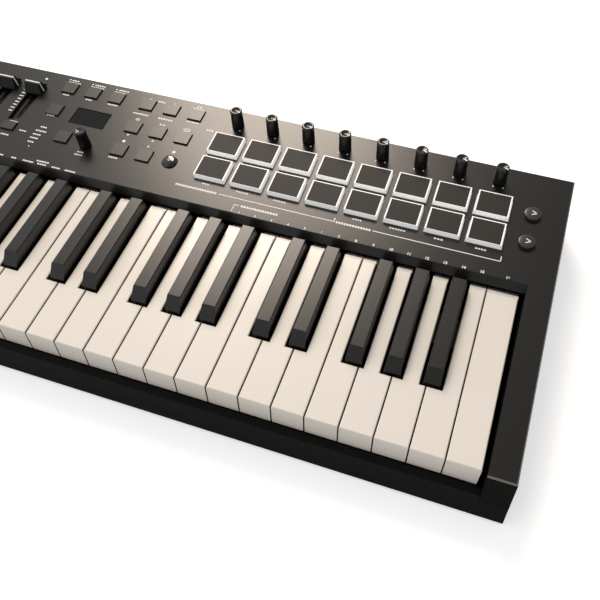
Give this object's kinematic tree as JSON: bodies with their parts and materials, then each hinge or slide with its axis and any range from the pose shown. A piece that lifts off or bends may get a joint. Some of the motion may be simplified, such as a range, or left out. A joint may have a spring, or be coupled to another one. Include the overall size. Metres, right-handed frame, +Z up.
{
  "type": "keyboard controller",
  "caption": "Keyboard controller with piano keys, velocity pads, rotary knobs, slide faders, a small display, soft buttons and two performance wheels in a low wedge case.",
  "frame": {"origin": "on the surface the instrument stands on, under the middle of its case", "axes": "+X to the player's right along the keyboard, +Y away from the player to the back, +Z up"},
  "size_m": [0.7984, 0.2678, 0.0697],
  "materials": {
    "panel_plastic": "satin moulded dark plastic",
    "base_plastic": "textured black plastic",
    "white_key": "warm white, glossy",
    "black_key": "matt black",
    "chassis_plastic": "dark grey moulding",
    "felt": "dense red felt",
    "board": "green lacquered board",
    "dome_rubber": "grey silicone",
    "spring_steel": "spring steel",
    "display_body": "black frame",
    "display_glass": "dark clear window",
    "fader_unit_metal": "folded sheet steel",
    "encoder_metal": "folded sheet steel",
    "socket_plastic": "black connector body",
    "foot_rubber": "black rubber",
    "screw_steel": "zinc-plated steel",
    "knob_plastic": "soft-touch black",
    "fader_plastic": "satin black",
    "button_silicone": "translucent pale silicone",
    "record_plastic": "glossy pale plastic",
    "pad_silicone": "pale silicone",
    "wheel_plastic": "soft black"
  },
  "bodies": {
    "case": {"top_cover": "panel_plastic", "bottom_case": "base_plastic", "key_chassis": "chassis_plastic", "key_felts": "felt", "contact_board": "board", "contact_domes": "dome_rubber", "key_springs": "spring_steel", "control_board": "board", "main_board": "board", "display_module": "display_body", "display_window": "display_glass", "pad_board": "board", "fader_units": "fader_unit_metal", "knob_encoders": "encoder_metal", "wheel_bracket": "chassis_plastic", "usb_socket": "socket_plastic", "midi_socket": "socket_plastic", "pedal_sockets": "socket_plastic", "rubber_feet": "foot_rubber", "case_screws": "screw_steel"},
    "keys_c": {"keys_c": "white_key"},
    "keys_c_sharp": {"keys_c_sharp": "black_key"},
    "keys_d": {"keys_d": "white_key"},
    "keys_d_sharp": {"keys_d_sharp": "black_key"},
    "keys_e": {"keys_e": "white_key"},
    "keys_f": {"keys_f": "white_key"},
    "keys_f_sharp": {"keys_f_sharp": "black_key"},
    "keys_g": {"keys_g": "white_key"},
    "keys_g_sharp": {"keys_g_sharp": "black_key"},
    "keys_a": {"keys_a": "white_key"},
    "keys_a_sharp": {"keys_a_sharp": "black_key"},
    "keys_b": {"keys_b": "white_key"},
    "key_top_c": {"key_top_c": "white_key"},
    "knob_1": {"knob_1": "knob_plastic"},
    "knob_2": {"knob_2": "knob_plastic"},
    "knob_3": {"knob_3": "knob_plastic"},
    "knob_4": {"knob_4": "knob_plastic"},
    "knob_5": {"knob_5": "knob_plastic"},
    "knob_6": {"knob_6": "knob_plastic"},
    "knob_7": {"knob_7": "knob_plastic"},
    "knob_8": {"knob_8": "knob_plastic"},
    "encoder_knob": {"encoder_knob": "knob_plastic"},
    "fader_cap_1": {"fader_cap_1": "fader_plastic"},
    "fader_cap_2": {"fader_cap_2": "fader_plastic"},
    "fader_cap_3": {"fader_cap_3": "fader_plastic"},
    "fader_cap_4": {"fader_cap_4": "fader_plastic"},
    "fader_cap_5": {"fader_cap_5": "fader_plastic"},
    "fader_cap_6": {"fader_cap_6": "fader_plastic"},
    "fader_cap_7": {"fader_cap_7": "fader_plastic"},
    "fader_cap_8": {"fader_cap_8": "fader_plastic"},
    "fader_cap_9": {"fader_cap_9": "fader_plastic"},
    "panel_button_mat": {"panel_button_mat": "button_silicone"},
    "fader_button_mat": {"fader_button_mat": "button_silicone"},
    "octave_button_mat": {"octave_button_mat": "button_silicone"},
    "pad_mat": {"pad_mat": "pad_silicone"},
    "record_button": {"record_button": "record_plastic"},
    "scroll_button_upper": {"scroll_button_upper": "button_silicone"},
    "scroll_button_lower": {"scroll_button_lower": "button_silicone"},
    "pitch_wheel": {"pitch_wheel": "wheel_plastic"},
    "modulation_wheel": {"modulation_wheel": "wheel_plastic"}
  },
  "joints": [
    {"name": "keys_c_hinge", "type": "hinge", "parent": "case", "child": "keys_c", "pos_m": [0, 0.07039, 0.0297], "axis": [1, 0, 0], "range_deg": [0, 3], "stiffness_Nm_per_rad": 2.6, "springref_deg": -9.91},
    {"name": "keys_c_sharp_hinge", "type": "hinge", "parent": "case", "child": "keys_c_sharp", "pos_m": [0, 0.07039, 0.0297], "axis": [1, 0, 0], "range_deg": [0, 3], "stiffness_Nm_per_rad": 2.6, "springref_deg": -9.91},
    {"name": "keys_d_hinge", "type": "hinge", "parent": "case", "child": "keys_d", "pos_m": [0, 0.07039, 0.0297], "axis": [1, 0, 0], "range_deg": [0, 3], "stiffness_Nm_per_rad": 2.6, "springref_deg": -9.91},
    {"name": "keys_d_sharp_hinge", "type": "hinge", "parent": "case", "child": "keys_d_sharp", "pos_m": [0, 0.07039, 0.0297], "axis": [1, 0, 0], "range_deg": [0, 3], "stiffness_Nm_per_rad": 2.6, "springref_deg": -9.91},
    {"name": "keys_e_hinge", "type": "hinge", "parent": "case", "child": "keys_e", "pos_m": [0, 0.07039, 0.0297], "axis": [1, 0, 0], "range_deg": [0, 3], "stiffness_Nm_per_rad": 2.6, "springref_deg": -9.91},
    {"name": "keys_f_hinge", "type": "hinge", "parent": "case", "child": "keys_f", "pos_m": [0, 0.07039, 0.0297], "axis": [1, 0, 0], "range_deg": [0, 3], "stiffness_Nm_per_rad": 2.6, "springref_deg": -9.91},
    {"name": "keys_f_sharp_hinge", "type": "hinge", "parent": "case", "child": "keys_f_sharp", "pos_m": [0, 0.07039, 0.0297], "axis": [1, 0, 0], "range_deg": [0, 3], "stiffness_Nm_per_rad": 2.6, "springref_deg": -9.91},
    {"name": "keys_g_hinge", "type": "hinge", "parent": "case", "child": "keys_g", "pos_m": [0, 0.07039, 0.0297], "axis": [1, 0, 0], "range_deg": [0, 3], "stiffness_Nm_per_rad": 2.6, "springref_deg": -9.91},
    {"name": "keys_g_sharp_hinge", "type": "hinge", "parent": "case", "child": "keys_g_sharp", "pos_m": [0, 0.07039, 0.0297], "axis": [1, 0, 0], "range_deg": [0, 3], "stiffness_Nm_per_rad": 2.6, "springref_deg": -9.91},
    {"name": "keys_a_hinge", "type": "hinge", "parent": "case", "child": "keys_a", "pos_m": [0, 0.07039, 0.0297], "axis": [1, 0, 0], "range_deg": [0, 3], "stiffness_Nm_per_rad": 2.6, "springref_deg": -9.91},
    {"name": "keys_a_sharp_hinge", "type": "hinge", "parent": "case", "child": "keys_a_sharp", "pos_m": [0, 0.07039, 0.0297], "axis": [1, 0, 0], "range_deg": [0, 3], "stiffness_Nm_per_rad": 2.6, "springref_deg": -9.91},
    {"name": "keys_b_hinge", "type": "hinge", "parent": "case", "child": "keys_b", "pos_m": [0, 0.07039, 0.0297], "axis": [1, 0, 0], "range_deg": [0, 3], "stiffness_Nm_per_rad": 2.6, "springref_deg": -9.91},
    {"name": "key_top_c_hinge", "type": "hinge", "parent": "case", "child": "key_top_c", "pos_m": [0, 0.07039, 0.0297], "axis": [1, 0, 0], "range_deg": [0, 3], "stiffness_Nm_per_rad": 0.65, "springref_deg": -9.91},
    {"name": "knob_1_turn", "type": "hinge", "parent": "case", "child": "knob_1", "pos_m": [0.119, 0.11739, 0.05256], "axis": [0, -0.0499, 0.9988], "range_deg": [-150, 150]},
    {"name": "knob_2_turn", "type": "hinge", "parent": "case", "child": "knob_2", "pos_m": [0.15095, 0.11739, 0.05256], "axis": [0, -0.0499, 0.9988], "range_deg": [-150, 150]},
    {"name": "knob_3_turn", "type": "hinge", "parent": "case", "child": "knob_3", "pos_m": [0.1829, 0.11739, 0.05256], "axis": [0, -0.0499, 0.9988], "range_deg": [-150, 150]},
    {"name": "knob_4_turn", "type": "hinge", "parent": "case", "child": "knob_4", "pos_m": [0.21485, 0.11739, 0.05256], "axis": [0, -0.0499, 0.9988], "range_deg": [-150, 150]},
    {"name": "knob_5_turn", "type": "hinge", "parent": "case", "child": "knob_5", "pos_m": [0.2468, 0.11739, 0.05256], "axis": [0, -0.0499, 0.9988], "range_deg": [-150, 150]},
    {"name": "knob_6_turn", "type": "hinge", "parent": "case", "child": "knob_6", "pos_m": [0.27875, 0.11739, 0.05256], "axis": [0, -0.0499, 0.9988], "range_deg": [-150, 150]},
    {"name": "knob_7_turn", "type": "hinge", "parent": "case", "child": "knob_7", "pos_m": [0.3107, 0.11739, 0.05256], "axis": [0, -0.0499, 0.9988], "range_deg": [-150, 150]},
    {"name": "knob_8_turn", "type": "hinge", "parent": "case", "child": "knob_8", "pos_m": [0.34265, 0.11739, 0.05256], "axis": [0, -0.0499, 0.9988], "range_deg": [-150, 150]},
    {"name": "encoder_knob_turn", "type": "hinge", "parent": "case", "child": "encoder_knob", "pos_m": [0.00175, 0.05839, 0.04961], "axis": [0, -0.0499, 0.9988], "continuous": true},
    {"name": "fader_cap_1_slide", "type": "slide", "parent": "case", "child": "fader_cap_1", "axis": [0, 0.9988, 0.0499], "range_m": [-0.03, 0]},
    {"name": "fader_cap_2_slide", "type": "slide", "parent": "case", "child": "fader_cap_2", "axis": [0, 0.9988, 0.0499], "range_m": [-0.03, 0]},
    {"name": "fader_cap_3_slide", "type": "slide", "parent": "case", "child": "fader_cap_3", "axis": [0, 0.9988, 0.0499], "range_m": [-0.03, 0]},
    {"name": "fader_cap_4_slide", "type": "slide", "parent": "case", "child": "fader_cap_4", "axis": [0, 0.9988, 0.0499], "range_m": [-0.03, 0]},
    {"name": "fader_cap_5_slide", "type": "slide", "parent": "case", "child": "fader_cap_5", "axis": [0, 0.9988, 0.0499], "range_m": [-0.03, 0]},
    {"name": "fader_cap_6_slide", "type": "slide", "parent": "case", "child": "fader_cap_6", "axis": [0, 0.9988, 0.0499], "range_m": [-0.03, 0]},
    {"name": "fader_cap_7_slide", "type": "slide", "parent": "case", "child": "fader_cap_7", "axis": [0, 0.9988, 0.0499], "range_m": [-0.03, 0]},
    {"name": "fader_cap_8_slide", "type": "slide", "parent": "case", "child": "fader_cap_8", "axis": [0, 0.9988, 0.0499], "range_m": [-0.03, 0]},
    {"name": "fader_cap_9_slide", "type": "slide", "parent": "case", "child": "fader_cap_9", "axis": [0, 0.9988, 0.0499], "range_m": [-0.03, 0]},
    {"name": "panel_button_mat_press", "type": "slide", "parent": "case", "child": "panel_button_mat", "axis": [0, 0.0499, -0.9988], "range_m": [0, 0.001], "stiffness_N_per_m": 2500, "springref_m": -0.0006},
    {"name": "fader_button_mat_press", "type": "slide", "parent": "case", "child": "fader_button_mat", "axis": [0, 0.0499, -0.9988], "range_m": [0, 0.001], "stiffness_N_per_m": 2000, "springref_m": -0.0006},
    {"name": "octave_button_mat_press", "type": "slide", "parent": "case", "child": "octave_button_mat", "axis": [0, 0.0499, -0.9988], "range_m": [0, 0.001], "stiffness_N_per_m": 1200, "springref_m": -0.0005},
    {"name": "pad_mat_press", "type": "slide", "parent": "case", "child": "pad_mat", "axis": [0, 0.0499, -0.9988], "range_m": [0, 0.0008], "stiffness_N_per_m": 8000, "springref_m": -0.0004},
    {"name": "record_button_press", "type": "slide", "parent": "case", "child": "record_button", "axis": [0, 0.0499, -0.9988], "range_m": [0, 0.001], "stiffness_N_per_m": 800, "springref_m": -0.0005},
    {"name": "scroll_button_upper_press", "type": "slide", "parent": "case", "child": "scroll_button_upper", "axis": [0, 0.0499, -0.9988], "range_m": [0, 0.001], "stiffness_N_per_m": 800, "springref_m": -0.0005},
    {"name": "scroll_button_lower_press", "type": "slide", "parent": "case", "child": "scroll_button_lower", "axis": [0, 0.0499, -0.9988], "range_m": [0, 0.001], "stiffness_N_per_m": 800, "springref_m": -0.0005},
    {"name": "pitch_wheel_turn", "type": "hinge", "parent": "case", "child": "pitch_wheel", "pos_m": [0, -0.04761, 0.0285], "axis": [1, 0, 0], "range_deg": [-45, 45], "stiffness_Nm_per_rad": 0.1},
    {"name": "modulation_wheel_turn", "type": "hinge", "parent": "case", "child": "modulation_wheel", "pos_m": [0, -0.04761, 0.0285], "axis": [1, 0, 0], "range_deg": [-45, 45]}
  ]
}
